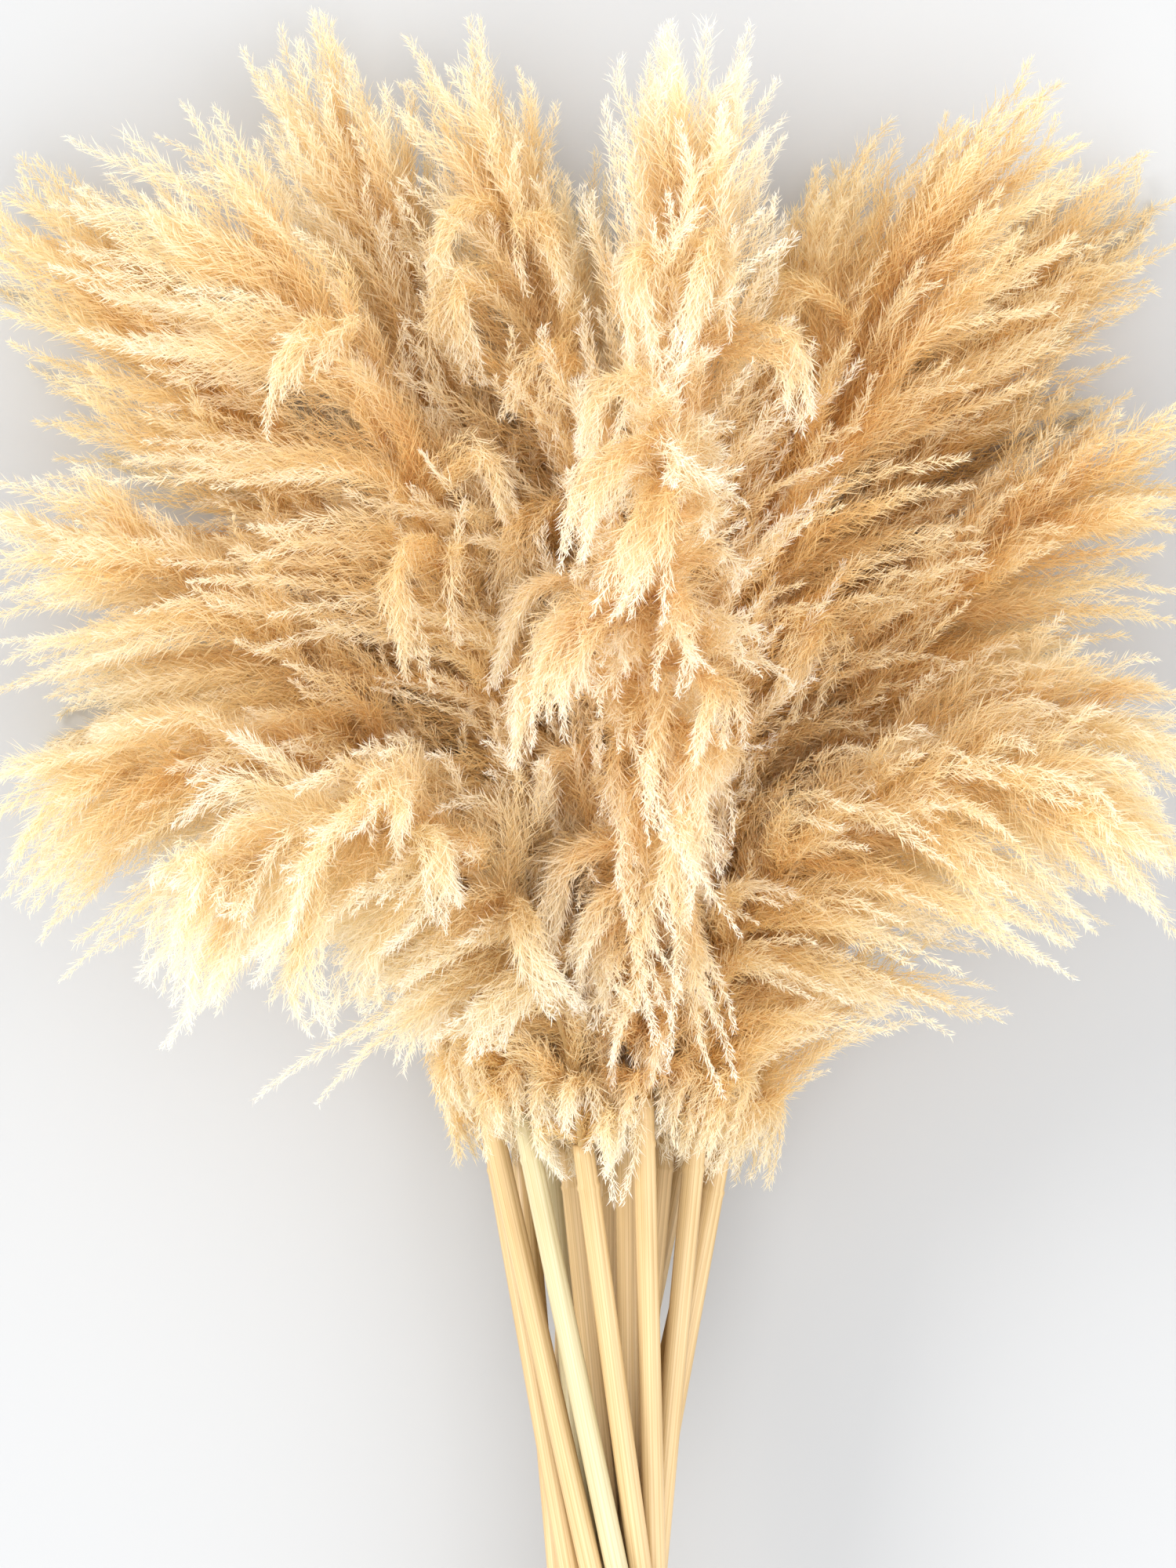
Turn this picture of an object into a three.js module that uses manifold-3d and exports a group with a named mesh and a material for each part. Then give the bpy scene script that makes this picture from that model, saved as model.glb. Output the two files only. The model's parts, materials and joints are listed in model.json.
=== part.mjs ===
// A bundle of dried pampas grass lying on a flat surface: nineteen stalks, hand-tied in a spiral.
// Each stalk is a bare, straw-coloured stem with one feathery plume, and a winding of twine holds
// the stems at the waist, where they cross. Millimetres, +Z up, and +Y runs from the cut ends of
// the stems to the plumes. The origin is at the bottom centre of the whole bundle.
import * as THREE from "three";
import { mergeVertices } from "three/addons/utils/BufferGeometryUtils.js";
import Module from "manifold-3d";

const wasm = await Module();
wasm.setup();

// ---- Driving dimensions ----
const STEM_DIAMETER = 13.5; // at the waist
const STEM_TAPER = 0.12; // share of the diameter that a stem loses from its cut end to its plume
const STEM_CLEARANCE = 0.7; // free space between neighbouring stems at the waist
const STEM_BELOW_WAIST = 300; // from the waist to the cut ends
const STEM_ABOVE_WAIST = 280; // from the waist to the first hairs of a plume
const CUT_STAGGER = 14; // how unevenly the ends are cut
const BASE_STAGGER = 22; // how unevenly the plumes begin
const TWIST = THREE.MathUtils.degToRad(62); // how far the stems turn round each other above the waist
const FAN = 2.5; // how many times wider the stems stand at the plumes than at the waist

const PLUME_LENGTH = 640; // along the curve of a plume of length 1
const PLUME_RADIUS = 52; // at the fullest part of a plume of girth 1
const NECK = 1.2; // how many times thicker than its stem a plume is where it begins
const PLUME_GAP = 0.4; // between neighbouring plumes, and between a plume and its stem

const TWINE_DIAMETER = 3;
const TWINE_TURNS = 8;
const TWINE_CLEARANCE = 0.6; // between the stems and the inside of the winding
const FLOOR_CLEARANCE = 0.2; // under the lowest cut end

const STEM_SIDES = 12;
const STEM_STATIONS = 2;
const PLUME_SIDES = 12;
const CURVE_STEPS = 16;

// Radius along a plume, as shares of its length and of its full radius. The second step is the skirt
// of the lowest hairs, which hang round the top of the stem.
const PLUME_PROFILE = [
  [0.0, 0.18],
  [0.03, 0.37],
  [0.12, 0.54],
  [0.26, 0.82],
  [0.42, 0.98],
  [0.58, 1.0],
  [0.74, 0.94],
  [0.87, 0.75],
  [0.95, 0.48],
  [1.0, 0.14],
];

// ---- Where the stalks stand ----
// One stalk runs up the middle, six round it and twelve round those. Angles go from +X towards +Z,
// and are those at the plumes. The outer ring starts where it sets one cut end down on the floor.
const PITCH = STEM_DIAMETER + STEM_CLEARANCE;
const OUTER_START = -17;
const RINGS = [
  { count: 1, radius: 0, from: 0 },
  { count: 6, radius: PITCH, from: OUTER_START + 30 },
  { count: 12, radius: 2 * PITCH, from: OUTER_START },
];
const BUNDLE_RADIUS = 2 * PITCH + STEM_DIAMETER / 2;

// How each plume lies: the side it bends to, as an angle like those of the rings, how many degrees it
// bends in all, its length and its girth. The order is that of the rings: the middle, six and twelve.
const PLUMES = [
  { side: 180, bend: 19, length: 1.0, girth: 1.05 }, // middle, straight up
  { side: 5, bend: 36, length: 1.0, girth: 1.05 }, // inner, upper right
  { side: 60, bend: 3, length: 0.97, girth: 1.1 }, // inner, up and in front
  { side: 180, bend: 44, length: 1.02, girth: 1.08 }, // inner, upper left
  { side: 200, bend: 18, length: 1.0, girth: 1.0 }, // inner, behind on the left
  { side: 262, bend: 8, length: 0.82, girth: 0.95 }, // inner, lying underneath
  { side: 345, bend: 18, length: 0.91, girth: 1.0 }, // inner, behind on the right
  { side: 2, bend: 54, length: 0.76, girth: 1.0 }, // outer, right
  { side: 12, bend: 92, length: 0.66, girth: 0.95 }, // outer, right and in front
  { side: 24, bend: 128, length: 0.64, girth: 0.95 }, // outer, lower right
  { side: 86, bend: 34, length: 0.76, girth: 1.0 }, // outer, facing up
  { side: 130, bend: 150, length: 0.66, girth: 0.95 }, // outer, folded over on the left
  { side: 166, bend: 128, length: 0.66, girth: 0.92 }, // outer, lower left
  { side: 174, bend: 72, length: 0.72, girth: 0.98 }, // outer, left and in front
  { side: 190, bend: 38, length: 0.98, girth: 1.0 }, // outer, left
  { side: 190, bend: 112, length: 0.66, girth: 0.95 }, // outer, lying low on the left
  { side: 245, bend: 40, length: 0.7, girth: 0.95 }, // outer, lying underneath
  { side: 340, bend: 74, length: 0.64, girth: 0.95 }, // outer, lying underneath on the right
  { side: 352, bend: 34, length: 0.92, girth: 1.0 }, // outer, lying low on the right
];
const BEND_POWER = 1.5; // 1 bends evenly, and more than 1 leaves more of the bend to the tip
const STIFF_SHARE = 1 / 3; // share of a plume's length in which it still follows its stem's direction
const RISE = 0.62; // how much of its bend a plume keeps upwards, away from the floor
const PRESSED = 0.5; // share of its radius at which a plume lies on the floor

// ---- Straw and twine ----
const straw = (shade) =>
  new THREE.MeshStandardMaterial({
    color: new THREE.Color(0.86, 0.72, 0.47).multiplyScalar(shade),
    roughness: 0.45,
    metalness: 0,
  });
const hair = (shade) =>
  new THREE.MeshStandardMaterial({
    color: new THREE.Color(0.9, 0.77, 0.56).multiplyScalar(shade),
    roughness: 0.9,
    metalness: 0,
  });
const twine = new THREE.MeshStandardMaterial({ color: 0x9a7648, roughness: 0.95, metalness: 0 });

// ---- The shape of the bundle ----
// Stems run in straight lines that all cross at the waist, so at any height their pattern is the
// one at the waist, turned and made wider. None comes nearer to another than it is there.
function alongStem(place, y) {
  const share = y / STEM_ABOVE_WAIST;
  const top = place.clone().rotateAround(new THREE.Vector2(), TWIST).multiplyScalar(FAN);
  const at = place.clone().lerp(top, share);
  return new THREE.Vector3(at.x, y, at.y);
}

const SPLAY = alongStem(new THREE.Vector2(2 * PITCH, 0), -STEM_BELOW_WAIST);
const CUT_END_RADIUS = Math.hypot(SPLAY.x, SPLAY.z) + STEM_DIAMETER / 2;
const SKIRT_RADIUS = PLUME_PROFILE[1][1] * PLUME_RADIUS;
const PLUME_BASE_RADIUS = 2 * PITCH * FAN + SKIRT_RADIUS;
// The bundle rests on its cut ends and on its plumes, so its middle line rises towards the plumes.
const TILT = Math.atan2(PLUME_BASE_RADIUS - CUT_END_RADIUS, STEM_ABOVE_WAIST + STEM_BELOW_WAIST);
const WAIST_HEIGHT = CUT_END_RADIUS + FLOOR_CLEARANCE + STEM_BELOW_WAIST * Math.tan(TILT);

// A point given from the waist, in the frame of the floor.
function onFloor(point) {
  const laid = point.clone().applyAxisAngle(new THREE.Vector3(1, 0, 0), TILT);
  laid.z += WAIST_HEIGHT;
  return laid;
}

// An even scatter of values from -1 to 1 that is the same in every run.
function scatter(index, turn) {
  return 2 * ((index * turn) % 1) - 1;
}

// ---- Solids ----
// A closed round body round a curve, with one radius for each share of the curve's length. margin
// makes it thicker and longer all round.
function bodyAlong(curve, profile, sides, margin = 0) {
  const outline = [
    new THREE.Vector2(0, 0),
    ...profile.map(([, radius], station) => new THREE.Vector2(radius + margin, station)),
    new THREE.Vector2(0, profile.length - 1),
  ];
  const geometry = new THREE.LatheGeometry(outline, sides);
  const frames = profile.map(([share]) => frameAt(curve, share));
  frames[0].point.addScaledVector(frames[0].along, -margin);
  frames.at(-1).point.addScaledVector(frames.at(-1).along, margin);
  const position = geometry.getAttribute("position");
  for (let i = 0; i < position.count; i++) {
    const { point, side, front } = frames[Math.round(position.getY(i))];
    const moved = point
      .clone()
      .addScaledVector(side, position.getX(i))
      .addScaledVector(front, position.getZ(i));
    position.setXYZ(i, moved.x, moved.y, moved.z);
  }
  return geometry;
}

// A point of a curve with two directions across it. The bundle's curves never run along +Z.
function frameAt(curve, share) {
  const along = curve.getTangentAt(share);
  const side = new THREE.Vector3().crossVectors(along, new THREE.Vector3(0, 0, 1)).normalize();
  const front = new THREE.Vector3().crossVectors(side, along);
  return { point: curve.getPointAt(share), along, side, front };
}

function toSolid(geometry) {
  const bare = geometry.clone();
  bare.deleteAttribute("normal");
  bare.deleteAttribute("uv");
  const merged = mergeVertices(bare, 1e-4);
  return new wasm.Manifold(
    new wasm.Mesh({
      numProp: 3,
      vertProperties: merged.attributes.position.array,
      triVerts: new Uint32Array(merged.index.array),
    }),
  );
}

function toGeometry(solid) {
  const { numProp, numVert, vertProperties, triVerts } = solid.getMesh();
  const points = new Float32Array(numVert * 3);
  for (let i = 0; i < numVert; i++)
    points.set(vertProperties.subarray(i * numProp, i * numProp + 3), i * 3);
  const geometry = new THREE.BufferGeometry();
  geometry.setAttribute("position", new THREE.BufferAttribute(points, 3));
  geometry.setIndex(new THREE.BufferAttribute(triVerts, 1));
  return geometry;
}

// The main body of a solid, without the crumbs that a cut leaves.
function mainBody(solid) {
  return solid.decompose().reduce((best, body) => (body.volume() > best.volume() ? body : best));
}

// ---- One stalk ----
function stemCurve(place, cut, top) {
  const points = [];
  for (let k = 0; k < STEM_STATIONS; k++)
    points.push(onFloor(alongStem(place, THREE.MathUtils.lerp(cut, top, k / (STEM_STATIONS - 1)))));
  return new THREE.CatmullRomCurve3(points);
}

// A plume leaves its stem in line with it, bends over more and more towards its tip, and rests on
// the floor where it comes down to it.
function plumeCurve(place, top, plume) {
  const base = alongStem(place, top);
  const ahead = alongStem(place, top + 1).sub(base).normalize();
  const side = THREE.MathUtils.degToRad(plume.side);
  const outwards = new THREE.Vector3(Math.cos(side), 0, RISE * Math.sin(side)).normalize();
  const straight = new THREE.Vector3(0, 1, 0);
  const start = ahead.angleTo(straight);
  const step = (PLUME_LENGTH * plume.length) / CURVE_STEPS;
  const rest = PRESSED * PLUME_RADIUS * plume.girth;
  const point = base.clone().addScaledVector(ahead, 1.5 * PLUME_GAP);
  const points = [onFloor(point)];
  for (let k = 0; k < CURVE_STEPS; k++) {
    const share = (k + 0.5) / CURVE_STEPS;
    const angle = start + THREE.MathUtils.degToRad(plume.bend) * share ** BEND_POWER;
    const heading = straight.clone().multiplyScalar(Math.cos(angle));
    heading.addScaledVector(outwards, Math.sin(angle));
    const turned = ahead.clone().lerp(heading, Math.min(1, share / STIFF_SHARE)).normalize();
    point.addScaledVector(turned, step);
    const laid = onFloor(point);
    laid.z = pressed(laid.z, rest);
    points.push(laid);
  }
  return new THREE.CatmullRomCurve3(points);
}

// A height that never comes below the lowest one, and meets it smoothly.
function pressed(height, lowest) {
  const over = height - lowest;
  return lowest + (over + Math.hypot(over, lowest / 2)) / 2;
}

const stalks = [];
for (const ring of RINGS)
  for (let k = 0; k < ring.count; k++) {
    const index = stalks.length;
    const angle = THREE.MathUtils.degToRad(ring.from + (360 / ring.count) * k) - TWIST;
    const place = new THREE.Vector2(ring.radius, 0).rotateAround(new THREE.Vector2(), angle);
    const cut = -STEM_BELOW_WAIST + CUT_STAGGER * scatter(index, 0.618);
    const top = STEM_ABOVE_WAIST + BASE_STAGGER * scatter(index, 0.382);
    const plume = PLUMES[index];
    const name = String(index + 1).padStart(2, "0");
    const curve = plumeCurve(place, top, plume);
    const profile = PLUME_PROFILE.map(([share, part]) => [share, part * PLUME_RADIUS * plume.girth]);
    profile[0][1] = Math.max(profile[0][1], (NECK * STEM_DIAMETER) / 2);
    stalks.push({
      name,
      stem: stemCurve(place, cut, top),
      curve,
      profile,
      shade: 1 + 0.06 * scatter(index, 0.71),
      lift: curve.getPointAt(0.7).z,
    });
  }

const bundle = new THREE.Group();
function add(name, geometry, material) {
  const mesh = new THREE.Mesh(geometry, material);
  mesh.name = name;
  bundle.add(mesh);
}

// ---- Stems ----
const stemSolids = stalks.map((stalk) => {
  const radii = [];
  for (let k = 0; k < STEM_STATIONS; k++) {
    const share = k / (STEM_STATIONS - 1);
    radii.push([share, (STEM_DIAMETER / 2) * (1 + STEM_TAPER * (0.5 - share))]);
  }
  add("stem_" + stalk.name, bodyAlong(stalk.stem, radii, STEM_SIDES), straw(stalk.shade));
  return toSolid(bodyAlong(stalk.stem, radii, STEM_SIDES, PLUME_GAP));
});

// ---- Plumes ----
// The plumes on top keep their full shape, and each one below gives way to those already placed,
// to the stems beside it and to the floor.
const floor = toSolid(new THREE.BoxGeometry(4000, 4000, 1000).translate(0, 0, -500));
const placed = [floor, ...stemSolids];
for (const stalk of [...stalks].sort((a, b) => b.lift - a.lift)) {
  const full = toSolid(bodyAlong(stalk.curve, stalk.profile, PLUME_SIDES));
  const free = placed.reduce((rest, other) => rest.subtract(other), full);
  add("plume_" + stalk.name, toGeometry(mainBody(free)), hair(stalk.shade));
  placed.push(toSolid(bodyAlong(stalk.curve, stalk.profile, PLUME_SIDES, PLUME_GAP)));
}

// ---- Twine ----
const inner = BUNDLE_RADIUS + TWINE_CLEARANCE;
const half = (TWINE_TURNS * TWINE_DIAMETER) / 2;
const soft = TWINE_DIAMETER / 3;
const section = [
  [inner, -half + soft],
  [inner + soft, -half],
  [inner + TWINE_DIAMETER - soft, -half],
  [inner + TWINE_DIAMETER, -half + soft],
  [inner + TWINE_DIAMETER, half - soft],
  [inner + TWINE_DIAMETER - soft, half],
  [inner + soft, half],
  [inner, half - soft],
  [inner, -half + soft],
].map(([x, y]) => new THREE.Vector2(x, y));
const winding = new THREE.LatheGeometry(section, 24);
winding.rotateX(TILT).translate(0, 0, WAIST_HEIGHT);
add("twine_tie", winding, twine);

// ---- The origin, at the bottom centre ----
const box = new THREE.Box3().setFromObject(bundle);
const centre = box.getCenter(new THREE.Vector3());
bundle.position.set(-centre.x, -centre.y, -box.min.z);

const part = new THREE.Group();
part.add(bundle);
export default part;
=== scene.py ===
# %% [markdown]
# # A bundle of dried pampas grass
#
# Nineteen stalks are tied in a spiral and laid on a table. Each stalk is a smooth, straw-coloured
# cane with one feathery plume: a thin axis, long side branches that arch outwards, and thousands
# of silky hairs on every branch. The canes cross at the waist, where a winding of twine holds them.
#
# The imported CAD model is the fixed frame. It says where every cane stands and how much room every
# plume has. This script reads those places and builds the fine surfaces round them.

import json
import math

import bpy
import numpy as np
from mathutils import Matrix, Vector


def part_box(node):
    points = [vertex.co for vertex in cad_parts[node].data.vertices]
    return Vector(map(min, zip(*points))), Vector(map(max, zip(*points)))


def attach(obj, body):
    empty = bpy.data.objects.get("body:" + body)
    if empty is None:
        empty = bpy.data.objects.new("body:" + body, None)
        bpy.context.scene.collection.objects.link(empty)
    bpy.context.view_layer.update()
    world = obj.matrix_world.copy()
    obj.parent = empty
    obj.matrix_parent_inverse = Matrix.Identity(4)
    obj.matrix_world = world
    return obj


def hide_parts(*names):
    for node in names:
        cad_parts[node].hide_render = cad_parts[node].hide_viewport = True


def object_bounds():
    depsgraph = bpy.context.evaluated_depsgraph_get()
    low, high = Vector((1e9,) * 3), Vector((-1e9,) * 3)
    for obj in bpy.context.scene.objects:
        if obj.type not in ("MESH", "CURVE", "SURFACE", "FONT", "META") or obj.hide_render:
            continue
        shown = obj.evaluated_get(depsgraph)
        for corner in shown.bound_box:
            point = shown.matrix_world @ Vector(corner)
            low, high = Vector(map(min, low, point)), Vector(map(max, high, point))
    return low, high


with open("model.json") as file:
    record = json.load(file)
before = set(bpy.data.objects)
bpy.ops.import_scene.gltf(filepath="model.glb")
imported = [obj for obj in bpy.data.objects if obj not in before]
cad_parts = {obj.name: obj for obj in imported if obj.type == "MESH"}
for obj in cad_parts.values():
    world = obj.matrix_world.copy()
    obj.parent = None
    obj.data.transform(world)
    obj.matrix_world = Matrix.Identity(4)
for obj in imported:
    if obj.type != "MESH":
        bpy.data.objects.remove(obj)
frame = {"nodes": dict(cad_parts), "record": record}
CAD_BOX = [list(corner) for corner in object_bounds()]
CAD_LOW, CAD_HIGH = np.array(CAD_BOX[0]), np.array(CAD_BOX[1])
MM = 0.001
print("CAD box in metres", CAD_BOX)

# %% [markdown]
# ## Where the canes are
#
# A cane in the CAD model is a straight, tapered prism. All its corners lie on two end discs, so the
# middle of each end is the average of the corners there. The two middles and the two radii are all
# that is needed to build a rounder cane in the same place, and the upper middle is where its plume
# begins.


# %% Measure the canes
def cane_ends(name):
    """The middle and the radius of a cane's cut end and of its upper end."""
    mesh = frame["nodes"][name].data
    corners = np.empty(len(mesh.vertices) * 3)
    mesh.vertices.foreach_get("co", corners)
    corners = np.unique(corners.reshape(-1, 3).round(6), axis=0)
    half = (corners[:, 1].min() + corners[:, 1].max()) / 2
    ends = []
    for end in (corners[corners[:, 1] < half], corners[corners[:, 1] > half]):
        middle = end.mean(axis=0)
        ends.append((middle, np.linalg.norm(end - middle, axis=1).max()))
    return ends


NAMES = [f"{number:02d}" for number in range(1, 20)]
CANES = {name: cane_ends("stem_" + name) for name in NAMES}
(low_middle, _), (high_middle, _) = CANES["01"]
UPWARDS = (high_middle - low_middle) / np.linalg.norm(high_middle - low_middle)
TILT = math.atan2(UPWARDS[2], UPWARDS[1])
print("the middle cane rises by", round(math.degrees(TILT), 2), "degrees")

# %% [markdown]
# ## How each plume lies
#
# A plume follows its cane at first, then bends to one side, more and more towards its tip. Where it
# comes down to the table, it lies on it. The table below names the side and the bend of each plume,
# its length and its girth. Two more values only change the looks: the tone, from 0 for golden tan to
# 1 for nearly white, and the fall, which says how far the side branches hang down over the front.

# %% Shape table
PLUME_LENGTH = 640 * MM
PLUME_RADIUS = 52 * MM
RISE = 0.62  # headings point up or down less than sideways, because the bundle lies flat
STIFF_SHARE = 1 / 3  # share of the axis in which it turns from its cane's direction to its own
BEND_POWER = 1.5  # above 1, so that most of the bend is near the tip
PRESSED = 0.5  # height of an axis on the table, as a share of the plume's radius
AXIS_STEPS = 64

# Sides and bends are in degrees. Side 0 is right, 90 is up from the table, and 180 is left.
#            side, bend, length, girth, tone, fall
PLUMES = {
    "01": (180, 19, 1.00, 1.05, 0.66, 0.50),
    "02": (5, 36, 1.00, 1.05, 0.54, 0.35),
    "03": (60, 3, 0.97, 1.10, 0.48, 0.35),
    "04": (180, 44, 1.02, 1.08, 0.74, 0.75),
    "05": (200, 18, 1.00, 1.00, 0.66, 0.15),
    "06": (262, 8, 0.82, 0.95, 0.40, 0.10),
    "07": (345, 18, 0.91, 1.00, 0.34, 0.20),
    "08": (2, 54, 0.76, 1.00, 0.64, 0.50),
    "09": (12, 92, 0.66, 0.95, 0.78, 0.70),
    "10": (24, 128, 0.64, 0.95, 0.88, 0.75),
    "11": (86, 34, 0.76, 1.00, 0.26, 1.40),
    "12": (130, 150, 0.66, 0.95, 0.82, 0.80),
    "13": (166, 128, 0.66, 0.92, 0.82, 0.70),
    "14": (174, 72, 0.72, 0.98, 0.84, 0.70),
    "15": (190, 38, 0.98, 1.00, 0.76, 0.40),
    "16": (190, 112, 0.66, 0.95, 0.80, 0.55),
    "17": (245, 40, 0.70, 0.95, 0.52, 0.10),
    "18": (340, 74, 0.64, 0.95, 0.55, 0.30),
    "19": (352, 34, 0.92, 1.00, 0.26, 0.40),
}
print("plumes in the table", len(PLUMES))

# %% [markdown]
# The axis of a plume is walked in short, straight steps. Each step turns a little further from the
# cane's own direction towards the heading that the table gives.


# %% Walk each plume's axis
def unit(vector):
    """The same direction with a length of one."""
    return vector / np.linalg.norm(vector, axis=-1, keepdims=True)


def tilted(vector):
    """A direction of the upright bundle, turned as the bundle lies."""
    x, y, z = vector
    c, s = math.cos(TILT), math.sin(TILT)
    return np.array([x, c * y - s * z, s * y + c * z])


def plume_axis(name):
    """The points along a plume's axis, from the top of its cane to its tip."""
    side, bend, length, girth, _, _ = PLUMES[name]
    (cut, _), (top, _) = CANES[name]
    ahead = unit(top - cut)
    turn = math.radians(side)
    outwards = tilted(unit(np.array([math.cos(turn), 0, RISE * math.sin(turn)])))
    start = math.acos(np.clip(ahead @ UPWARDS, -1, 1))
    step = PLUME_LENGTH * length / AXIS_STEPS
    rest = PRESSED * PLUME_RADIUS * girth
    point = top.copy()
    points = []
    for k in range(AXIS_STEPS + 1):
        over = point[2] - rest
        height = rest + (over + math.hypot(over, rest / 2)) / 2
        points.append((point[0], point[1], height))
        share = (k + 0.5) / AXIS_STEPS
        angle = start + math.radians(bend) * share**BEND_POWER
        heading = math.cos(angle) * UPWARDS + math.sin(angle) * outwards
        blend = min(1, share / STIFF_SHARE)
        point = point + step * unit((1 - blend) * ahead + blend * heading)
    return np.array(points)


AXES = {name: plume_axis(name) for name in NAMES}
for name in NAMES:
    low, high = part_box("plume_" + name)
    miss = np.maximum(np.array(low) - AXES[name][-1], AXES[name][-1] - np.array(high)).max()
    print("plume", name, "tip", AXES[name][-1].round(3), "outside its solid by", round(miss / MM, 1), "mm")

# %% [markdown]
# ## Side branches
#
# A plume looks feathery because its branches don't stop at its outline. The lower ones are long,
# leave the axis at a narrow angle, arch outwards and then hang over, and the upper ones are short
# and stand close to the tip. One rule gives every branch as a line of points. The golden angle
# sets the branches evenly round the axis, and a seeded generator keeps them from looking combed.
# The points carry numbers that the hairs read later: how far along the branch they are, which also sets
# its painted shade, how long the hairs grow there, how thick the branch is, and its tone, which holds
# painted light on the branches that face up.

# %% Branch rule
PRIMARIES = 56  # side branches of a full-length plume
STRANDS = 5  # strands that start close together as one side branch
BRANCH_STEPS = 12
GOLDEN_ANGLE = math.pi * (3 - math.sqrt(5))
LAST_BRANCH = 0.84  # share of the axis below the uppermost branch
PAST_TIP = 1.05  # how far along the axis a branch may reach, as a share
BRANCH_AT = [0, 0.35, 0.75, 0.85]  # places along the axis, for the lengths below
BRANCH_LENGTH = [0.32, 0.30, 0.24, 0.19]  # shares of the plume's length
SPREAD_AT = [0.0, 0.1, 0.3, 0.5, 0.7, 0.85, 0.95, 1.05]
SPREAD = [0.5, 0.8, 1.2, 1.4, 1.35, 1.1, 0.75, 0.42]  # distance of the branch tips, in plume radii
LEAST_SPREAD = 12 * MM
WILD_SHARE = 0.07  # share of the strands that stand out further than the others
WILD_SPREAD = 1.35
HANG_BELOW = 20 * MM  # how far a strand may hang below the place where its plume begins
STRAND_RADIUS = [0.4 * MM, 0.12 * MM]  # at its root and at its tip
TONE_RANGE = (0.08, 0.92)  # keeps the tone away from the edges of the colour map
TABLE_GAP = 2 * MM
ROOM_SHARE = 0.03  # how far a soft edge may pass the CAD box, as a share of each side
ROOM = 10 * MM
ROOM_KEPT = 6 * MM  # what the hairs at the end of a branch need of that room
SOFT_ZONE = 45 * MM  # over this length a strand is bent back more and more


def axis_at(axis, share):
    """Points and directions of an axis at the given shares. Past its end it goes straight on."""
    at = np.clip(share, 0, 1) * (len(axis) - 1)
    low = np.minimum(at.astype(int), len(axis) - 2)
    part = (at - low)[..., None]
    point = axis[low] * (1 - part) + axis[low + 1] * part
    length = np.linalg.norm(np.diff(axis, axis=0), axis=1).sum()
    steps = np.diff(axis, axis=0)
    smooth = np.stack([np.convolve(np.pad(c, 3, mode="edge"), np.ones(7) / 7, "valid") for c in steps.T], 1)
    along = unit(smooth[low])
    beyond = np.where(share > 1, share - 1, np.minimum(share, 0))[..., None]
    return point + along * beyond * length, along


def kept_in(points):
    """Bends what would pass the room round the CAD box softly back inside it."""
    side = CAD_HIGH - CAD_LOW
    room = ROOM_SHARE * side + ROOM - ROOM_KEPT
    middle = (CAD_LOW + CAD_HIGH) / 2
    reach = side / 2 + room
    offset = points - middle
    over = np.abs(offset) - (reach - SOFT_ZONE)
    bent = reach - SOFT_ZONE + SOFT_ZONE * np.tanh(np.maximum(over, 0) / SOFT_ZONE)
    kept = middle + np.where(over > 0, np.sign(offset) * bent, offset)
    kept[..., 2] = np.maximum(kept[..., 2], TABLE_GAP)
    return kept


print("room round the CAD box", (ROOM_SHARE * (CAD_HIGH - CAD_LOW) + ROOM).round(4), "metres")


# %% Grow the branch lines
def outward_at(along, turn):
    """Directions straight out from an axis, turned round it by the given angles."""
    across = unit(np.cross(along, [0, 0, 1]))
    front = np.cross(across, along)
    return np.cos(turn)[:, None] * across + np.sin(turn)[:, None] * front


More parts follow.
